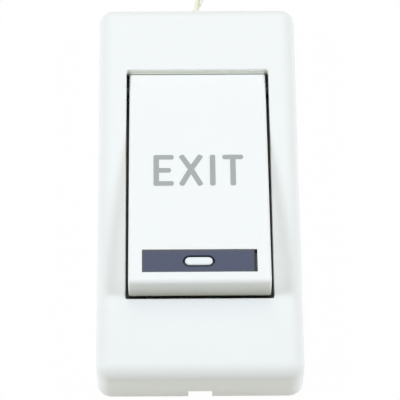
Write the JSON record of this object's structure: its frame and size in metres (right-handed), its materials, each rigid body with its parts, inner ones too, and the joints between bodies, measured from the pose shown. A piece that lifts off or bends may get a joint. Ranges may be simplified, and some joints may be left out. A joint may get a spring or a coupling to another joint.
{
  "type": "door exit button",
  "caption": "Narrow wall-mounted push-to-exit button: a rounded plastic housing with a wide hinged rocker that springs back, an indicator strip with a lamp lens, and a short flying lead.",
  "frame": {"origin": "centre of the back face, which lies on the wall", "axes": "+Z out of the wall, +Y up the wall towards the end where the leads come out, +X to the right as seen from the front"},
  "size_m": [0.0513, 0.1387, 0.0193],
  "materials": {
    "cover_white": "fine satin, cool white",
    "rocker_white": "fine satin, cool white",
    "plate_white": "satin, off white",
    "strip_slate": "satin, slate grey",
    "lens_white": "milky, glossy",
    "board_green": "green solder mask",
    "screw_steel": "zinc plated",
    "switch_black": "matt black",
    "plunger_grey": "light grey",
    "tinned_metal": "tinned, bright",
    "lamp_clear": "clear epoxy",
    "resistor_tan": "tan lacquer",
    "spring_steel": "bright drawn wire",
    "lead_cream": "pale cream insulation",
    "lead_grey": "pale grey insulation",
    "tie_white": "white band"
  },
  "bodies": {
    "base": {"front_cover": "cover_white", "back_plate": "plate_white", "circuit_board": "board_green", "board_screws": "screw_steel", "switch_body": "switch_black", "switch_pins": "tinned_metal", "led_body": "lamp_clear", "led_legs": "tinned_metal", "resistor_body": "resistor_tan", "resistor_legs": "tinned_metal", "return_spring": "spring_steel", "lead_wire_a": "lead_cream", "lead_wire_b": "lead_grey", "lead_tails": "tinned_metal", "lead_pair": "lead_cream", "lead_coil": "lead_cream", "coil_tie": "tie_white", "lead_ends": "tinned_metal"},
    "rocker": {"rocker": "rocker_white", "indicator_strip": "strip_slate", "indicator_lens": "lens_white"},
    "plunger": {"switch_plunger": "plunger_grey"}
  },
  "joints": [
    {"name": "rocker_press", "type": "hinge", "parent": "base", "child": "rocker", "pos_m": [0, 0.0285, 0.0085], "axis": [1, 0, 0], "range_deg": [0, 4], "stiffness_Nm_per_rad": 1.46, "springref_deg": -1.95, "deforming": ["return_spring"]},
    {"name": "switch_press", "type": "slide", "parent": "base", "child": "plunger", "axis": [0, 0, -1], "range_m": [0, 0.002], "stiffness_N_per_m": 20, "springref_m": -0.002}
  ],
  "couplings": [
    {"joint": "switch_press", "follows": "rocker_press", "m_per_rad": 0.0285}
  ]
}
